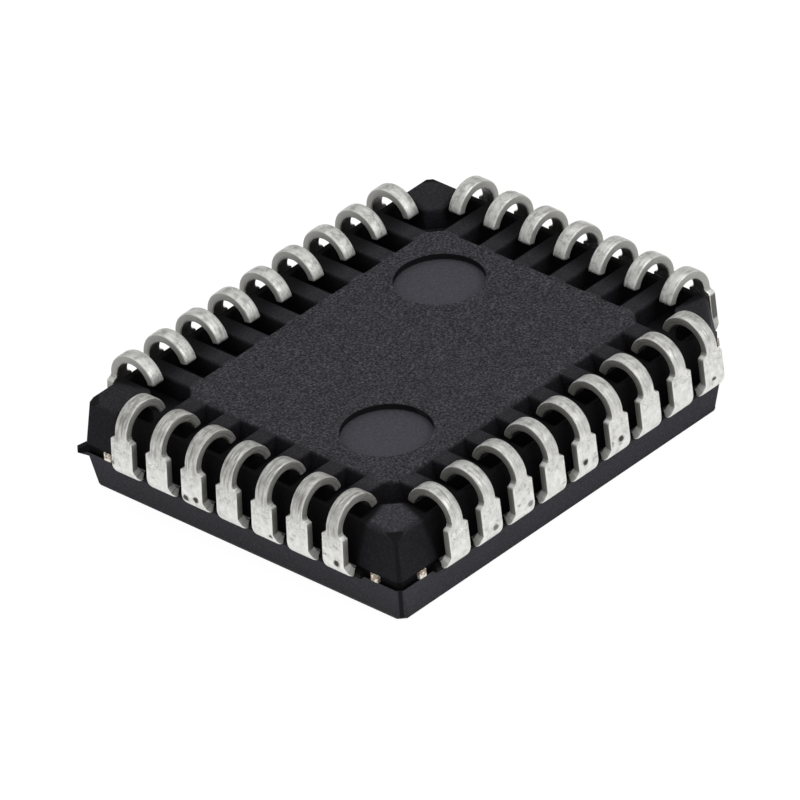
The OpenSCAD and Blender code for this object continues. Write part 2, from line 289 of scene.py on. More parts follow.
    def shade(
        self, tree: bpy.types.NodeTree, place: bpy.types.NodeSocket
    ) -> tuple[bpy.types.Node, bpy.types.Node]:
        """Works out where the resin is dark or pale, painted light and shade among it, and where it is
        pebbled.

        Args:
            tree: The material's node tree.
            place: The Object coordinates.

        Returns:
            The tone and the grain's strength.
        """
        mm = add_node(tree, "VectorMath", {0: place, "Scale": 1 / MM}, operation="SCALE")
        far = self.measures(tree, mm)
        masks = self.masks(tree, far)
        low, high = self.groove
        # Painted shade makes the ribs and pockets darker outwards and the walls above the groove darker, a
        # painted shadow makes the groove darker still, and painted light makes the low half paler upwards.
        rib_shade = add_node(tree, "MapRange", {
            "Value": far["out"], "From Max": 1.2, "To Min": 0.8, "To Max": 0.12,
        }, **SOFT)
        pocket_shade = add_node(tree, "MapRange", {
            "Value": far["out"], "From Max": 0.9, "To Min": 0.3, "To Max": 0.12,
        }, **SOFT)
        wall_shade = add_node(tree, "Mix", {0: masks["off_post"], 2: 0.36, 3: pocket_shade})
        groove_shadow = add_node(tree, "MapRange", {
            "Value": far["z"], "From Min": high + 0.06, "From Max": high - 0.01, "To Min": wall_shade,
            "To Max": 0.03,
        }, **SOFT)
        low_light = add_node(tree, "MapRange", {
            "Value": far["z"], "From Max": low, "To Min": 0.92, "To Max": 1.3,
        })
        cloud = add_node(tree, "TexNoise", {"Vector": mm, "Scale": 1 / self.cloud_mm, "Detail": 3.0})
        tone = add_node(tree, "MapRange", {
            "Value": cloud, "From Min": 0.3, "From Max": 0.7, "To Min": self.cloud_tones[0],
            "To Max": self.cloud_tones[1],
        })
        grain = 1.0
        # Each row has a mask, the tone in it and the strength of the grain in it, and a later row covers it.
        for name, level, pebbles in (
            # The marks' floors are paler with a painted sheen; the posts' rims, the marks' walls, the ribs
            # and the walls are darker with painted shade.
            ("scuffed", 1.15, 0.6), ("smooth", 0.6, 0.4), ("rim_shade", 0.6, 0.5), ("ring", rib_shade, 0.35),
            ("mark_wall", 0.25, 0.1), ("mark", 1.7, 0.2), ("wall", groove_shadow, 0.4), ("low", low_light, 0.25),
            ("strip", 0.2, 0.2),
        ):
            tone = add_node(tree, "Mix", {0: masks[name], 2: tone, 3: level})
            grain = add_node(tree, "Mix", {0: masks[name], 2: grain, 3: pebbles})
        return tone, grain

    def build(self) -> bpy.types.Material:
        """Builds the resin's nodes.

        Returns:
            The finished material.
        """
        material, tree = fresh_material("moulded_epoxy")
        place = add_node(tree, "TexCoord").outputs["Object"]
        tone, pebbles = self.shade(tree, place)
        turned = add_node(tree, "Mapping", {"Vector": place, "Rotation": GRID_TURN})
        grain = add_node(tree, "TexNoise", {
            "Vector": turned, "Scale": 1 / (self.grain_mm * MM), "Detail": 4.0, "Roughness": 0.65,
        })
        tint = add_node(tree, "ValToRGB", {"Fac": grain},
                        stops=((0.34, self.pit), (0.5, self.colour), (0.68, self.grit)))
        flat = add_node(tree, "Mix", {0: pebbles, 6: linear(self.colour), 7: tint}, data_type="RGBA")
        dark = add_node(tree, "VectorMath", {0: flat, "Scale": tone}, operation="SCALE")
        bump = add_node(tree, "Bump", {
            "Strength": pebbles, "Distance": self.grain_depth_mm * MM, "Height": grain,
        })
        skin = add_node(tree, "BsdfPrincipled", {
            "Base Color": dark, "Roughness": self.roughness, "Specular IOR Level": self.specular,
            "Normal": bump,
        })
        add_node(tree, "OutputMaterial", {"Surface": skin})
        return material


@dataclass(frozen=True)
class MattTin:
    """Matt tin plating on a copper alloy lead, bent and handled after plating.

    It gives the eye a pale grey-white satin with soft mottling, streaks along each bend, a creased band under
    the shoulders and a few dark pits where the forming tool pressed. The cut sides are duller. The edges and
    the creases' ridges carry a painted highlight, and the folds, the faces in under the crook, the root and,
    row by row, the crooks carry painted shade, with a painted sheen on some rows' cut sides.
    """

    colour: str = "#d9d9d5"
    # A duller tin, also used for painted shade on the crooks and in the creases' folds.
    dull: str = "#8f8d88"
    # Tool pits, and the painted shadow on the root beside the body.
    pit: str = "#35322e"
    # A brighter tin, also used for the painted highlight on the edges and the creases' ridges.
    bright: str = "#f4f4f1"
    side: str = "#74726d"
    # Painted shade, with a painted reflection of the dark resin, for the faces in under the crook and at its
    # tip, and painted shade on the wide part's cut sides in some rows.
    inner: str = "#4a4844"
    roughness: float = 0.42
    metallic: float = 0.8
    # The cut sides were torn through, so they are rough and scatter the light.
    side_roughness: float = 0.6
    side_metallic: float = 0.5
    # Mottling follows patches of plating about 0.2 mm across.
    patch_mm: float = 0.2
    # Tin grains are a few micrometres across, so the satin's grain is drawn at 0.06 mm.
    grain_mm: float = 0.06
    # Drawing lines run along the strip, about 0.07 mm apart, and a map shortened along it draws them out.
    streak_mm: float = 0.07
    streak_map: tuple[float, float, float] = (1.0, 0.15, 1.0)
    # Tool pits are about 0.2 mm across and 0.4 mm apart, and the grain makes their rims uneven.
    pit_mm: float = 0.4
    pit_rough_mm: float = 0.08
    # Creases under the shoulders are about 0.13 mm apart.
    crease_mm: float = 0.13
    # The height of the relief, and how strongly it shows.
    relief_mm: float = 0.025
    relief: float = 0.7

    def masks(self, tree: bpy.types.NodeTree, place: bpy.types.Node) -> dict[str, object]:
        """Works out where each mark on a lead lies.

        Args:
            tree: The material's node tree.
            place: The texture coordinates.

        Returns:
            The masks, the patches and the grain, from 0 to 1, by name.
        """
        strip = place.outputs["UV"]
        along = add_node(tree, "SeparateXYZ", {0: strip}).outputs["Y"]
        turned = add_node(tree, "Mapping", {"Vector": place.outputs["Object"], "Rotation": GRID_TURN})
        patch = add_node(tree, "TexNoise", {
            "Vector": turned, "Scale": 1 / (self.patch_mm * MM), "Detail": 4.0, "Roughness": 0.6,
        })
        grain = add_node(tree, "TexNoise", {
            "Vector": turned, "Scale": 1 / (self.grain_mm * MM), "Detail": 2.0,
        })
        drawn = add_node(tree, "VectorMath", {0: strip, 1: self.streak_map}, operation="MULTIPLY")
        streak = add_node(tree, "TexNoise", {"Vector": drawn, "Scale": 1 / self.streak_mm, "Detail": 4.0})
        crease = add_node(tree, "TexNoise", {
            "Vector": strip, "Scale": 1 / self.crease_mm, "Detail": 3.0, "Distortion": 1.2,
        })
        uneven = add_node(tree, "VectorMath", {
            0: grain.outputs["Color"], 1: (self.pit_rough_mm,) * 3, 2: strip,
        }, operation="MULTIPLY_ADD")
        cells = add_node(tree, "TexVoronoi", {
            "Vector": uneven, "Scale": 1 / self.pit_mm, "Randomness": 0.8,
        }, voronoi_dimensions="2D")
        chance = add_node(tree, "SeparateColor", {0: cells.outputs["Color"]}).outputs["Red"]
        masks: dict[str, object] = {
            name: add_node(tree, "Attribute", attribute_name=name).outputs["Fac"]
            for name in ("side", "inner", "plated", "crook_dulling")
        }
        masks["patch"] = patch
        masks["grain"] = grain
        # Only some of the cells have a pit.
        masks["likely"] = add_node(tree, "MapRange", {"Value": chance, "From Min": 0.6, "From Max": 0.35})
        # Each row has a mask's name, what it follows, where it starts, where it is full and the mask or the
        # share that it is kept within. Lengths along the strip are in mm.
        for name, value, start, full, within in (
            ("cut", masks["side"], 0.75, 0.95, 1.0),
            ("face", masks["side"], 0.4, 0.1, 1.0),
            # Three rows get a painted sheen on the cut sides of the crook and painted shade on those of the
            # wide part, each row by its own share.
            ("sheen_and_shade_sides", masks["side"], 0.75, 0.95, "plated"),
            ("crook_side", along, 1.4, 1.6, "sheen_and_shade_sides"),
            ("wide_side", along, 1.5, 1.3, "sheen_and_shade_sides"),
            # The stub at the knee kept its plating, and the root beside the body is darkened with a painted
            # shadow.
            ("stub", along, 0.7, 0.55, "cut"),
            ("root", along, 0.25, 0.12, 1.0),
            # The crook is streaked, and darkened with painted shade, each row by its own share.
            ("crook", along, 1.4, 1.8, "crook_dulling"),
            ("lined", streak, 0.45, 0.66, "crook"),
            # The crown is worn, where the lead touches a board or a tray.
            ("top", along, 1.9, 2.6, 0.85),
            ("crown", patch, 0.5, 0.4, "top"),
            # Pits lie in a band above the knee.
            ("pitted", masks["side"], 0.4, 0.1, "likely"),
            ("past_knee", along, 0.66, 0.72, "pitted"),
            ("pit_band", along, 1.0, 0.9, "past_knee"),
            ("hole", cells.outputs["Distance"], 0.33, 0.15, "pit_band"),
            # Creases lie under the shoulders, with a painted highlight on the ridges and painted shade in the
            # folds.
            ("crease_start", along, 1.05, 1.35, "face"),
            ("crease_band", along, 1.65, 1.4, "crease_start"),
            ("ridge", crease, 0.5, 0.64, "crease_band"),
            ("fold", crease, 0.44, 0.36, "crease_band"),
        ):
            masks[name] = add_node(tree, "MapRange", {
                "Value": value, "From Min": start, "From Max": full, "To Max": masks.get(within, within),
            }, **SOFT)
        # The edges between the cut sides and the flat faces get a painted highlight.
        edge = add_node(tree, "Math", {0: masks["cut"], 1: masks["face"]}, operation="ADD")
        masks["edge"] = add_node(tree, "Math", {0: 1.0, 1: edge}, operation="SUBTRACT")
        return masks

    def build(self) -> bpy.types.Material:
        """Builds the plating's nodes, which read the strip's map in mm: across it, then along it.

        Returns:
            The finished material.
        """
        material, tree = fresh_material("matt_tin_plating")
        masks = self.masks(tree, add_node(tree, "TexCoord"))
        colour = add_node(tree, "ValToRGB", {"Fac": masks["patch"]},
                          stops=((0.14, self.dull), (0.42, self.colour), (0.75, self.bright)))
        # Each row has a mask, its share and its colour, and a later row covers it.
        # The edges and ridges get a painted highlight, the crooks' cut sides a painted sheen, and the crooks,
        # folds, wide sides, inner faces and root painted shade.
        for name, share, code in (
            ("crook", 0.32, self.dull), ("lined", 0.76, self.dull), ("crown", 0.35, self.dull),
            ("fold", 0.35, self.dull), ("ridge", 0.7, self.bright), ("cut", 0.85, self.side),
            ("wide_side", 0.7, self.inner), ("crook_side", 0.4, self.colour), ("stub", 0.6, self.colour),
            ("edge", 0.32, self.bright), ("inner", 0.8, self.inner), ("hole", 1.0, self.pit),
            ("root", 0.9, self.pit),
        ):
            part = add_node(tree, "Math", {0: masks[name], 1: share}, operation="MULTIPLY")
            colour = add_node(tree, "Mix", {0: part, 6: colour, 7: linear(code)}, data_type="RGBA")
        height = 0.0
        for name, rise in (("grain", 0.35), ("ridge", 1.2), ("fold", -0.8), ("hole", -1.5), ("lined", -1.0)):
            height = add_node(tree, "Math", {0: masks[name], 1: rise, 2: height}, operation="MULTIPLY_ADD")
        bump = add_node(tree, "Bump", {
            "Strength": self.relief, "Distance": self.relief_mm * MM, "Height": height,
        })
        metal = add_node(tree, "Mix", {0: masks["cut"], 2: self.metallic, 3: self.side_metallic})
        rough = add_node(tree, "Mix", {0: masks["cut"], 2: self.roughness, 3: self.side_roughness})
        skin = add_node(tree, "BsdfPrincipled", {
            "Base Color": colour, "Metallic": metal, "Roughness": rough, "Normal": bump,
        })
        add_node(tree, "OutputMaterial", {"Surface": skin})
        return material


@dataclass(frozen=True)
class PlainMetal:
    """A bare metal piece: the copper alloy frame, the adhesive, the die or the wires.

    It gives the eye a metal tone with faint patches.
    """

    name: str
    colour: str
    dark: str
    roughness: float
    patch_mm: float
    metallic: float = 1.0

    def build(self) -> bpy.types.Material:
        """Builds the metal's nodes.

        Returns:
            The finished material.
        """
        material, tree = fresh_material(self.name)
        place = add_node(tree, "TexCoord").outputs["Object"]
        patch = add_node(tree, "TexNoise", {
            "Vector": place, "Scale": 1 / (self.patch_mm * MM), "Detail": 4.0,
        })
        tint = add_node(tree, "ValToRGB", {"Fac": patch}, stops=((0.42, self.dark), (0.56, self.colour)))
        skin = add_node(tree, "BsdfPrincipled", {
            "Base Color": tint, "Metallic": self.metallic, "Roughness": self.roughness,
        })
        add_node(tree, "OutputMaterial", {"Surface": skin})
        return material


def work_on(piece: bpy.types.Object) -> None:
    """Makes a piece the only selected and active one.

    Args:
        piece: The piece.
    """
    bpy.ops.object.select_all(action="DESELECT")
    piece.select_set(True)
    bpy.context.view_layer.objects.active = piece


@dataclass
class SoftCopy:
    """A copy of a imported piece, with its sharp outer edges broken."""

    finish: bpy.types.Material
    node: str
    name: str
    slot: str
    edge_mm: float
    edge_steps: int = 3
    # Angles in degrees: an edge is sharp past the first, flat below the second and smooth below the third.
    sharp: float = 25.0
    flat: float = 0.6
    smooth: float = 32.0

    def broken(self, low: Vector, high: Vector) -> bool:
        """Whether the edge between two points is broken.

        Args:
            low: Its lower end, in mm.
            high: Its upper end, in mm.

        Returns:
            True where it is.
        """
        raise NotImplementedError

    def build(self) -> bpy.types.Object:
        """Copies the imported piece, breaks its edges and dresses it.

        Returns:
            The piece.
        """
        piece = bpy.data.objects.new(self.name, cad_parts[self.node].data.copy())
        bpy.context.scene.collection.objects.link(piece)
        work_on(piece)
        bpy.ops.object.mode_set(mode="EDIT")
        bpy.ops.mesh.select_all(action="SELECT")
        bpy.ops.mesh.remove_doubles(threshold=MERGE)
        bpy.ops.mesh.dissolve_limited(angle_limit=math.radians(self.flat))
        bpy.ops.mesh.select_all(action="DESELECT")
        bpy.ops.mesh.select_mode(type="EDGE")
        shape = bmesh.from_edit_mesh(piece.data)
        for edge in shape.edges:
            low, high = sorted((v.co / MM for v in edge.verts), key=lambda p: p.z)
            turned = edge.is_convex and edge.calc_face_angle(0.0) > math.radians(self.sharp)
            edge.select_set(turned and self.broken(low, high))
        bmesh.update_edit_mesh(piece.data)
        bpy.ops.mesh.bevel(
            offset=self.edge_mm * MM, segments=self.edge_steps, affect="EDGES", clamp_overlap=False
        )
        bpy.ops.object.mode_set(mode="OBJECT")
        bpy.ops.object.shade_smooth_by_angle(angle=math.radians(self.smooth))
        # The broken edges take up the turn, so that the large faces between them stay flat to the eye.
        bpy.ops.object.modifier_add(type="WEIGHTED_NORMAL")
        piece.modifiers[0].keep_sharp = True
        bpy.ops.object.modifier_apply(modifier=piece.modifiers[0].name)
        piece.data.materials.clear()
        piece.data.materials.append(self.finish)
        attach(piece, BODY)
        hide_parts(self.node)
        return piece


@dataclass
class MouldedBody(SoftCopy):
    """The one-piece resin moulding, with the edges of its underside and corners broken."""

    node: str = "mould_body"
    name: str = "moulding"
    slot: str = "mould_resin"
    edge_mm: float = 0.05
    # The rims of the two round marks, inside this part of the underside, stay sharp.
    mark_l: float = 4.9
    mark_w: float = 3.6
    # So do the narrow strips down the corners, where the half sizes add up to more than this.
    corner: float = 11.9
    # Edges of the underside lie above this height. Upright ones there start and end above the next two.
    under: float = 2.05
    upright: tuple[float, float] = (1.35, 2.0)
    # Edges down the body's corners start above the first height, and rise by more than the second.
    down: tuple[float, float] = (0.2, 0.5)

    def broken(self, low: Vector, high: Vector) -> bool:
        """Whether an edge lies on the underside or down a corner.

        Args:
            low: Its lower end, in mm.
            high: Its upper end, in mm.

        Returns:
            True where it does.
        """
        if all(abs(p.x) < self.mark_l and abs(p.y) < self.mark_w for p in (low, high)):
            return False
        if all(abs(p.x) + abs(p.y) > self.corner for p in (low, high)):
            return False
        upright = low.z > self.upright[0] and high.z > self.upright[1]
        down = low.z > self.down[0] and high.z - low.z > self.down[1]
        return low.z > self.under or upright or down


@dataclass
class TieFrame(SoftCopy):
    """The die pad and its tie bars, with the cut ends that show in the body's sides rounded off."""

    node: str = "die_pad"
    name: str = "tie_frame"
    slot: str = "bare_frame"
    edge_mm: float = 0.045

    def broken(self, low: Vector, high: Vector) -> bool:
        """Whether an edge lies at a cut end, past the side of the body."""
        return all(abs(p.x) > BODY_L / 2 or abs(p.y) > BODY_W / 2 for p in (low, high))


@dataclass
class JLeads:
    """The 32 J-shaped leads, modelled once as a bent strip and copied to every place round the body."""

    finish: bpy.types.Material
    long_count: int = 9
    short_count: int = 7
    pitch: float = 1.27
    seat_z: float = 3.35
    frame_z: float = 1.27
    thick: float = 0.25
    width: float = 0.77
    crook_w: float = 0.43
    shoulder_z: float = 2.38
    shoulder_h: float = 0.07
    neck_w: float = 0.5
    knee_gap: float = 0.01
    knee_r: float = 0.25
    knee_steps: int = 10
    leg_lean: float = 3.0
    crook_r: float = 0.82
    crook_steps: int = 28
    tip_rise: float = 12.0
    root_len: float = 0.7
    # The strip starts this far inside the body, and each finger's tip is then moved to its own place.
    start_len: float = 2.0
    finger_w: float = 0.35
    long_finger_pitch: float = 0.75
    short_finger_pitch: float = 0.72
    pad_l: float = 6.2
    pad_w: float = 4.6
    pad_gap: float = 0.5
    # Each lead keeps a stub on one side, where the bar between the leads was cut off centre.
    stub_out: float = 0.07
    # It rises in two steps, each between two angles round the knee, in degrees.
    stub_steps: tuple[tuple[float, float], ...] = ((-74.0, -12.0), (-66.0, -20.0))
    edge_mm: float = 0.055
    edge_steps: int = 3
    # Angles in degrees: an edge is sharp past the first, and shaded smooth below the second.
    sharp: float = 38.0
    smooth: float = 40.0
    # Shares of a face's normal: past the first it lies on a cut side, below the second on a flat one, and
    # past the third it faces in under the crook.
    side_share: float = 0.6
    flat_share: float = 0.5
    inner_share: float = 0.3
    # Points that differ by less than this many mm count as level.
    level: float = 0.02
    # Each lead's place in the map is this far from the last one's, across and along the strip, in mm.
    map_step: tuple[float, float] = (5.3, 0.013)
    # Each lead is turned by up to this many degrees and moved by up to this many mm.
    sway_turn: float = 0.5
    sway_shift: float = 0.008
    # A lead's box may differ from its node's by this many mm.
    box_slack: float = 0.12
    pieces: list[bpy.types.Object] = field(default_factory=list)

    def __post_init__(self) -> None:
        """Works out the strip's bends."""
        self.lean = math.radians(self.leg_lean)
        self.knee_z = self.frame_z + self.thick / 2 + self.knee_r
        crook_set = self.knee_r + self.thick - self.crook_r
        self.crook_z = self.seat_z - self.crook_r
        rise = self.crook_z - self.knee_z
        self.leg_len = (rise - crook_set * math.sin(self.lean)) / math.cos(self.lean)
        self.crook_x = self.knee_gap - self.leg_len * math.sin(self.lean) + crook_set * math.cos(self.lean)
        self.up = Vector((-math.sin(self.lean), 0, math.cos(self.lean)))
        self.knee_turn = math.pi / 2 + self.lean
        self.knee_len = (self.knee_r + self.thick / 2) * self.knee_turn
        self.crook_turn = math.pi - math.radians(self.tip_rise) - self.lean
        self.tip_at = self.knee_len + self.leg_len + (self.crook_r - self.thick / 2) * self.crook_turn

    def strip(self) -> bpy.types.Object:
        """Models one lead as a strip, with its root at the side of the body and its width along Y.

        Returns:
            The model, from its finger's tip to the tip of its crook, with how far each face turns to a side
            and whether it faces in under the crook.
        """
        wide_len = (self.shoulder_z - self.knee_z) / math.cos(self.lean)
        bpy.ops.object.select_all(action="DESELECT")
        bpy.ops.mesh.primitive_plane_add(
            size=1, location=(-self.start_len * MM, 0, self.frame_z * MM), rotation=(0, math.pi / 2, 0)
        )
        lead = bpy.context.object
        lead.scale = (self.thick * MM, self.finger_w * MM, 1)
        bpy.ops.object.transform_apply(location=True, rotation=True, scale=True)
        bpy.ops.object.mode_set(mode="EDIT")
        bpy.ops.mesh.select_mode(type="FACE")
        bpy.ops.mesh.select_all(action="SELECT")
        self.run(Vector((self.start_len - self.root_len, 0, 0)), self.width / self.finger_w)
        self.run(Vector((self.root_len + self.knee_gap, 0, 0)))
        self.turn(self.knee_turn, self.knee_steps, (self.knee_gap, self.knee_z))
        for _ in range(2):
            self.run(self.up * (wide_len * 0.5))
        for narrow in (self.neck_w / self.width, self.crook_w / self.neck_w):
            self.run(self.up * self.shoulder_h, narrow)
        self.run(self.up * (self.leg_len - wide_len - 2 * self.shoulder_h))
        self.turn(self.crook_turn, self.crook_steps, (self.crook_x, self.crook_z))
        self.widen_knee(lead)
        bpy.ops.mesh.select_all(action="SELECT")
        bpy.ops.mesh.remove_doubles(threshold=MERGE)
        bpy.ops.mesh.normals_make_consistent(inside=False)
        self.break_edges(lead)
        bpy.ops.object.mode_set(mode="OBJECT")
        bpy.ops.object.shade_smooth_by_angle(angle=math.radians(self.smooth))
        self.mark_faces(lead.data)
        return lead

    def turn(self, angle: float, steps: int, centre: tuple[float, float]) -> None:
        """Bends the selected end of the strip round an axis along Y.

        Args:
            angle: The bend's angle, in radians.
            steps: The number of steps.
            centre: The axis's place along X and Z, in mm.
        """
        bpy.ops.mesh.spin(
            steps=steps, angle=angle, center=(centre[0] * MM, 0, centre[1] * MM), axis=(0, 1, 0), dupli=False
        )

    def run(self, step: Vector, narrow: float = 1.0) -> None:
        """Extrudes the selected end of the strip straight on.

        Args:
            step: The run's direction and length, in mm.
            narrow: How much the strip's width changes over it.
        """
        bpy.ops.mesh.extrude_region_move(TRANSFORM_OT_translate={"value": tuple(step * MM)})
        if narrow != 1.0:
            bpy.ops.transform.resize(value=(1, narrow, 1))

    def widen_knee(self, lead: bpy.types.Object) -> None:
        """Draws out the stub of the cut bar, which the trimming left on one side of the knee.

        Args:
            lead: The strip, in edit mode.
        """
        bpy.ops.mesh.select_mode(type="VERT")
        for low, high in self.stub_steps:
            bpy.ops.mesh.select_all(action="DESELECT")
            shape = bmesh.from_edit_mesh(lead.data)
            for vert in shape.verts:
                x, z = vert.co.x / MM - self.knee_gap, vert.co.z / MM - self.knee_z
                vert.select_set(vert.co.y < 0 < x and low < math.degrees(math.atan2(z, x)) < high)
            shape.select_flush_mode()
            bmesh.update_edit_mesh(lead.data)
            bpy.ops.transform.translate(value=(0, -self.stub_out / len(self.stub_steps) * MM, 0))

    def break_edges(self, lead: bpy.types.Object) -> None:
        """Rounds the sharp edges of the strip outside the body, but not across the knee or inside it.

        Args:
            lead: The strip, in edit mode.
        """
        bpy.ops.mesh.select_mode(type="EDGE")
        bpy.ops.mesh.select_all(action="DESELECT")
        bpy.ops.mesh.edges_select_sharp(sharpness=math.radians(self.sharp))
        shape = bmesh.from_edit_mesh(lead.data)
        for edge in shape.edges:
            ends = [v.co / MM for v in edge.verts]
            start, end = (self.along(p.x, p.z) for p in ends)
            low = all(p.z < self.knee_z - self.level for p in ends)
            across = low and abs(start - end) < self.level / 2
            buried = low and all(self.depth(p.x, p.z) > self.thick / 2 for p in ends)
            if across or buried or any(p.x < 0 and p.z < self.knee_z for p in ends):
                edge.select_set(False)
        bmesh.update_edit_mesh(lead.data)
        bpy.ops.mesh.bevel(
            offset=self.edge_mm * MM, segments=self.edge_steps, affect="EDGES", clamp_overlap=True
        )

    def mark_faces(self, mesh: bpy.types.Mesh) -> None:
        """Notes on each face how far it turns to a side, and whether it lies inside the crook or at its tip.

        Args:
            mesh: The strip's mesh.
        """
        side = mesh.attributes.new("side", "FLOAT", "FACE").data
        inner = mesh.attributes.new("inner", "FLOAT", "FACE").data
        for face in mesh.polygons:
            x, z = face.center.x / MM, face.center.z / MM
            out = Vector((x - self.crook_x, 0, max(z - self.crook_z, 0))).normalized()
            tip = self.along(x, z) > self.tip_at - self.level
            turned_in = tip or face.normal.dot(out) < -self.inner_share
            side[face.index].value = abs(face.normal.y)
            inner[face.index].value = float(abs(face.normal.y) < self.flat_share and turned_in)

    def along(self, x: float, z: float) -> float:
        """Measures how far along the strip a point lies.

        Args:
            x: Its distance from the side of the body, in mm.
            z: Its height, in mm.

        Returns:
            The length from the root, in mm.
        """
        if x < self.knee_gap and z < self.knee_z:
            return x
        if z < self.knee_z:
            turned = math.pi / 2 + math.atan2(z - self.knee_z, x - self.knee_gap)
            return (self.knee_r + self.thick / 2) * turned
        turned = math.atan2(z - self.crook_z, x - self.crook_x)
        if turned < self.lean and x > self.crook_x:
            return self.knee_len + (z - self.knee_z) / math.cos(self.lean)
        if turned < -math.pi / 2:
            turned += 2 * math.pi
        return self.knee_len + self.leg_len + (self.crook_r - self.thick / 2) * (turned - self.lean)

    def depth(self, x: float, z: float) -> float:
        """Measures how deep in the strip a point lies.

        Args:
            x: Its distance from the side of the body, in mm.
            z: Its height, in mm.

        Returns:
            The depth below the outer face, in mm.
        """
        outer = self.knee_r + self.thick
        if z < self.knee_z:
            return outer - math.hypot(x - self.knee_gap, z - self.knee_z)
        if math.atan2(z - self.crook_z, x - self.crook_x) < self.lean and x > self.crook_x:
            back = (x - self.knee_gap) * math.cos(self.lean) + (z - self.knee_z) * math.sin(self.lean)
            return outer - back
        return self.crook_r - math.hypot(x - self.crook_x, z - self.crook_z)

    def map_strip(self, mesh: bpy.types.Mesh, number: int) -> None:
        """Gives a lead its map in mm, across and along the strip, with a place of its own for each lead.

        Args:
            mesh: The lead's mesh, before it is put in its place.
            number: The lead's number.
        """
        while mesh.uv_layers:
            mesh.uv_layers.remove(mesh.uv_layers[0])
        layer = mesh.uv_layers.new(name="strip")
        shift = Vector(self.map_step) * number
        for face in mesh.polygons:
            cut = abs(face.normal.y) > self.side_share
            for index in face.loop_indices:
                x, y, z = (v / MM for v in mesh.vertices[mesh.loops[index].vertex_index].co)
                across = y + math.copysign(self.depth(x, z), y) if cut else y
                layer.data[index].uv = Vector((across, self.along(x, z))) + shift

    def place(self, number: int) -> tuple[Row, float]:
        """Finds a lead's row and its step from the row's middle.

        Args:
            number: The lead's number, from 1 in the middle of the +X side.

        Returns:
            The row and the step.
        """
        counts = [self.short_count if row.short else self.long_count for row in Row]
        turn = (number - 1 + self.short_count // 2) % sum(counts)
        for row, count in zip(Row, counts):
            if turn < count:
                return row, (count - 1) / 2 - turn
            turn -= count
        raise ValueError(f"there is no lead {number}")

    def set_finger(self, mesh: bpy.types.Mesh, row: Row, step: float) -> None:
        """Moves the tip of a lead's finger to its place beside the die pad.

        Args:
            mesh: The lead's mesh, with its root still at the side of the body.
            row: The lead's row.
            step: Its step from the row's middle.
        """
        half = (BODY_L if row.short else BODY_W) / 2
        finger = (self.pad_l if row.short else self.pad_w) / 2 + self.pad_gap
        pitch = self.short_finger_pitch if row.short else self.long_finger_pitch
        for vert in mesh.vertices:
            if vert.co.x < -(self.root_len + self.level / 2) * MM and vert.co.z < self.knee_z * MM:
                vert.co.x = (finger - half) * MM
                vert.co.y += step * (pitch - self.pitch) * MM

    def build(self) -> None:
        """Models the leads, places them and dresses them."""
        model = self.strip()
        count = 2 * (self.long_count + self.short_count)
        for number in range(1, count + 1):
            row, step = self.place(number)
            mesh = model.data.copy()
            self.map_strip(mesh, number)
            if row.mirrored:
                mesh.transform(Matrix.Scale(-1, 4, (0, 1, 0)))
                mesh.flip_normals()
            self.set_finger(mesh, row, step)
            for label, level in (("plated", row.plated), ("crook_dulling", row.crook_dulling)):
                values = mesh.attributes.new(label, "FLOAT", "FACE").data
                values.foreach_set("value", [level] * len(mesh.polygons))
            name = f"lead_{number:02d}"
            lead = bpy.data.objects.new(f"j_{name}", mesh)
            bpy.context.scene.collection.objects.link(lead)
            sway = random.Random(number)
            loose = Matrix.Rotation(math.radians(sway.uniform(-self.sway_turn, self.sway_turn)), 4, "Z")
            half = (BODY_L if row.short else BODY_W) / 2
            beside = step * self.pitch + sway.uniform(-self.sway_shift, self.sway_shift)
            shift = Matrix.Translation(Vector((half, beside, 0)) * MM)
            mesh.transform(Matrix.Rotation(-math.pi / 2 * row.value, 4, "Z") @ shift @ loose)
            mesh.materials.append(self.finish)
            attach(lead, BODY)
            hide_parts(name)
            self.check(lead, name)
            self.pieces.append(lead)
        bpy.data.objects.remove(model)

    def check(self, lead: bpy.types.Object, node: str) -> None:
        """Logs a lead whose box isn't that of its node.

        Args:
            lead: The lead.
            node: The node that it stands for.
        """
        low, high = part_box(node)
        points = [v.co for v in lead.data.vertices]
        for axis in range(3):
            places = [p[axis] for p in points]
            off = max(abs(min(places) - low[axis]), abs(max(places) - high[axis]))
            if off > self.box_slack * MM:
                LOG.info("%s differs from %s by %.3f mm along axis %d", lead.name, node, off / MM, axis)


@dataclass(frozen=True)
class SoftLamp:
    """A square soft lamp that points at the object, with lengths in metres and its power in watts."""

    name: str
    place: tuple[float, float, float]
    size: float
    power: float

    def hang(self) -> None:
        """Adds the lamp to the scene."""
        data = bpy.data.lights.new(self.name, "AREA")
        data.size = self.size
        data.energy = self.power
        lamp = bpy.data.objects.new(self.name, data)
        bpy.context.scene.collection.objects.link(lamp)
        aim = (-Vector(self.place)).to_track_quat("-Z", "Y").to_matrix().to_4x4()
        lamp.matrix_world = Matrix.Translation(self.place) @ aim


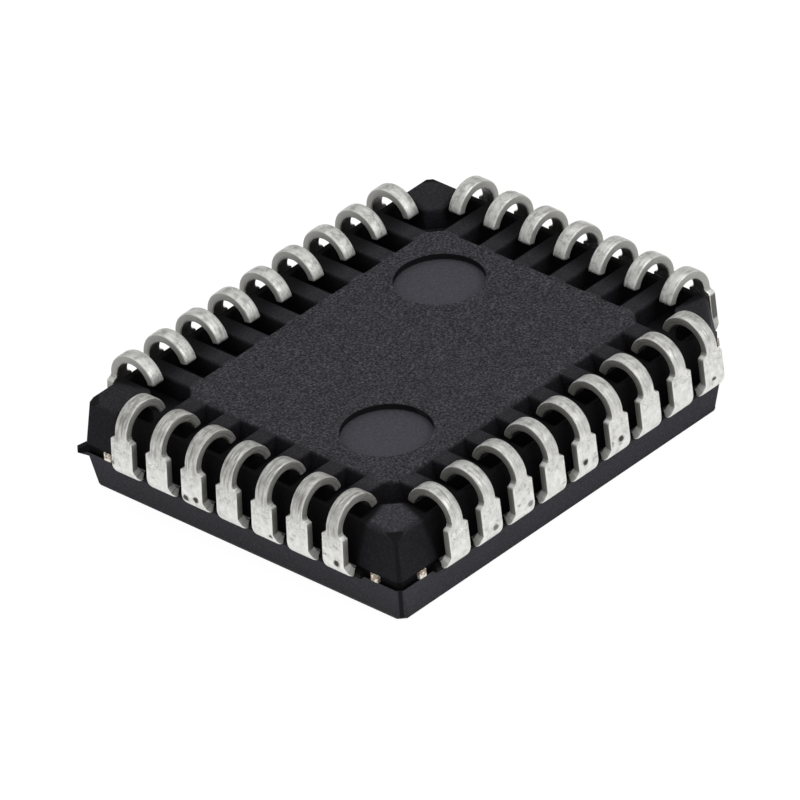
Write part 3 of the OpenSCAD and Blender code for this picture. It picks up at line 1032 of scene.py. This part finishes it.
@dataclass
class Studio:
    """The floor, the lights and the camera."""

    # The camera's angles in degrees, its distance in mm and the picture's scale in pixels a mm.
    azimuth: float = -45.211
    elevation: float = 33.228
    roll: float = -4.711
    distance: float = 419.2
    scale: float = 37.318
    # Where the middle of the body's lower face appears, in pixels, and how far the camera is then raised,
    # in mm.
    origin: tuple[float, float] = (419.432, 435.523)
    rise: float = 0.1
    image: int = 800
    sensor: float = 36.0
    clip: tuple[float, float] = (0.01, 50.0)
    # The floor's radius in metres and its number of sides, its own grey, and the darker grey and the glow
    # that a camera sees in its place.
    floor_r: float = 6.0
    floor_sides: int = 96
    floor_grey: str = "#e6e6e6"
    seen_grey: str = "#5a5a5a"
    seen_glow: float = 0.96
    sky: float = 0.52
    lamps: tuple[SoftLamp, ...] = (
        SoftLamp("key", (0.1, -0.55, 0.52), 0.5, 1.75),
        SoftLamp("fill", (-0.66, -0.12, 0.2), 0.5, 0.42),
        SoftLamp("top", (0.05, 0.1, 0.6), 0.6, 0.8),
    )

    def camera(self) -> None:
        """Places the camera where the photograph was taken from."""
        a, e, r = (math.radians(v) for v in (self.azimuth, self.elevation, self.roll))
        back = Vector((math.sin(a) * math.cos(e), -math.cos(a) * math.cos(e), math.sin(e)))
        side = Vector((math.cos(a), math.sin(a), 0))
        top = back.cross(side)
        right = math.cos(r) * side + math.sin(r) * top
        up = -math.sin(r) * side + math.cos(r) * top
        half = self.image / 2
        across = (self.origin[0] + 0.5 - half) / self.scale
        along = -(self.origin[1] + 0.5 - half) / self.scale
        eye = back * self.distance - right * across - up * along + Vector((0, 0, self.rise))
        data = bpy.data.cameras.new("camera")
        data.sensor_width = self.sensor
        data.lens = self.scale * self.distance * self.sensor / self.image
        data.clip_start, data.clip_end = self.clip
        camera = bpy.data.objects.new("camera", data)
        bpy.context.scene.collection.objects.link(camera)
        turn = Matrix((right, up, back)).transposed().to_4x4()
        camera.matrix_world = Matrix.Translation(eye * MM) @ turn
        bpy.context.scene.camera = camera

    def floor(self) -> None:
        """Lays a white floor that keeps the object's shadow."""
        bpy.ops.object.select_all(action="DESELECT")
        bpy.ops.mesh.primitive_circle_add(
            vertices=self.floor_sides, radius=self.floor_r, fill_type="NGON", location=(0, 0, 0)
        )
        floor = bpy.context.object
        floor.name = "floor"
        material, tree = fresh_material("white_sweep")
        path = add_node(tree, "LightPath")
        seen = path.outputs["Is Camera Ray"]
        for ray in ("Is Glossy Ray", "Is Transmission Ray"):
            seen = add_node(tree, "Math", {0: seen, 1: path.outputs[ray]}, operation="MAXIMUM")
        plain = add_node(tree, "BsdfDiffuse", {"Color": linear(self.floor_grey)})
        shade = add_node(tree, "BsdfDiffuse", {"Color": linear(self.seen_grey)})
        glow = add_node(tree, "Emission", {"Strength": self.seen_glow})
        bright = add_node(tree, "AddShader", {0: shade, 1: glow})
        both = add_node(tree, "MixShader", {0: seen, 1: plain, 2: bright})
        add_node(tree, "OutputMaterial", {"Surface": both})
        floor.data.materials.append(material)

    def lights(self) -> None:
        """Sets a soft even world and hangs three large soft lamps."""
        world = bpy.data.worlds.new("studio")
        world.use_nodes = True
        bpy.context.scene.world = world
        tree = world.node_tree
        tree.nodes.clear()
        sky = add_node(tree, "Background", {"Color": linear("#ffffff"), "Strength": self.sky})
        add_node(tree, "OutputWorld", {"Surface": sky})
        for lamp in self.lamps:
            lamp.hang()


def dress(node: str, finish: PlainMetal) -> None:
    """Gives a CAD node its finish.

    Args:
        node: The node's name.
        finish: The finish.
    """
    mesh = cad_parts[node].data
    mesh.materials.clear()
    mesh.materials.append(finish.build())


def main() -> None:
    """Builds the looks in order."""
    logging.basicConfig(level=logging.INFO, format="%(message)s")
    bpy.context.scene.view_settings.view_transform = "Standard"
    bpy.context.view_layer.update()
    studio = Studio()
    studio.camera()
    studio.floor()
    studio.lights()
    body = MouldedBody(MouldedEpoxy().build()).build()
    LOG.info("%s: %d faces", body.name, len(body.data.polygons))
    leads = JLeads(MattTin().build())
    leads.build()
    LOG.info("%d leads of %d faces", len(leads.pieces), len(leads.pieces[0].data.polygons))
    alloy = PlainMetal("copper_alloy", "#f2ece2", "#a08e7c", roughness=0.45, patch_mm=0.1, metallic=0.7)
    ties = TieFrame(alloy.build()).build()
    LOG.info("%s: %d faces", ties.name, len(ties.data.polygons))
    sealed = {
        "die_attach": PlainMetal(
            "silver_adhesive", "#b5b5b0", "#8d8d88", roughness=0.6, patch_mm=0.05, metallic=0.4
        ),
        "silicon_die": PlainMetal(
            "polished_silicon", "#5a5f6b", "#42464f", roughness=0.25, patch_mm=0.3, metallic=0.6
        ),
        "bond_wires": PlainMetal("gold_wire", "#e0b64c", "#b88d2c", roughness=0.3, patch_mm=0.1),
    }
    for node, finish in sealed.items():
        dress(node, finish)
        LOG.info("%s: %s", node, finish.name)
    LOG.info("dressed %d nodes", len(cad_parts))


if __name__ == "__main__":
    main()
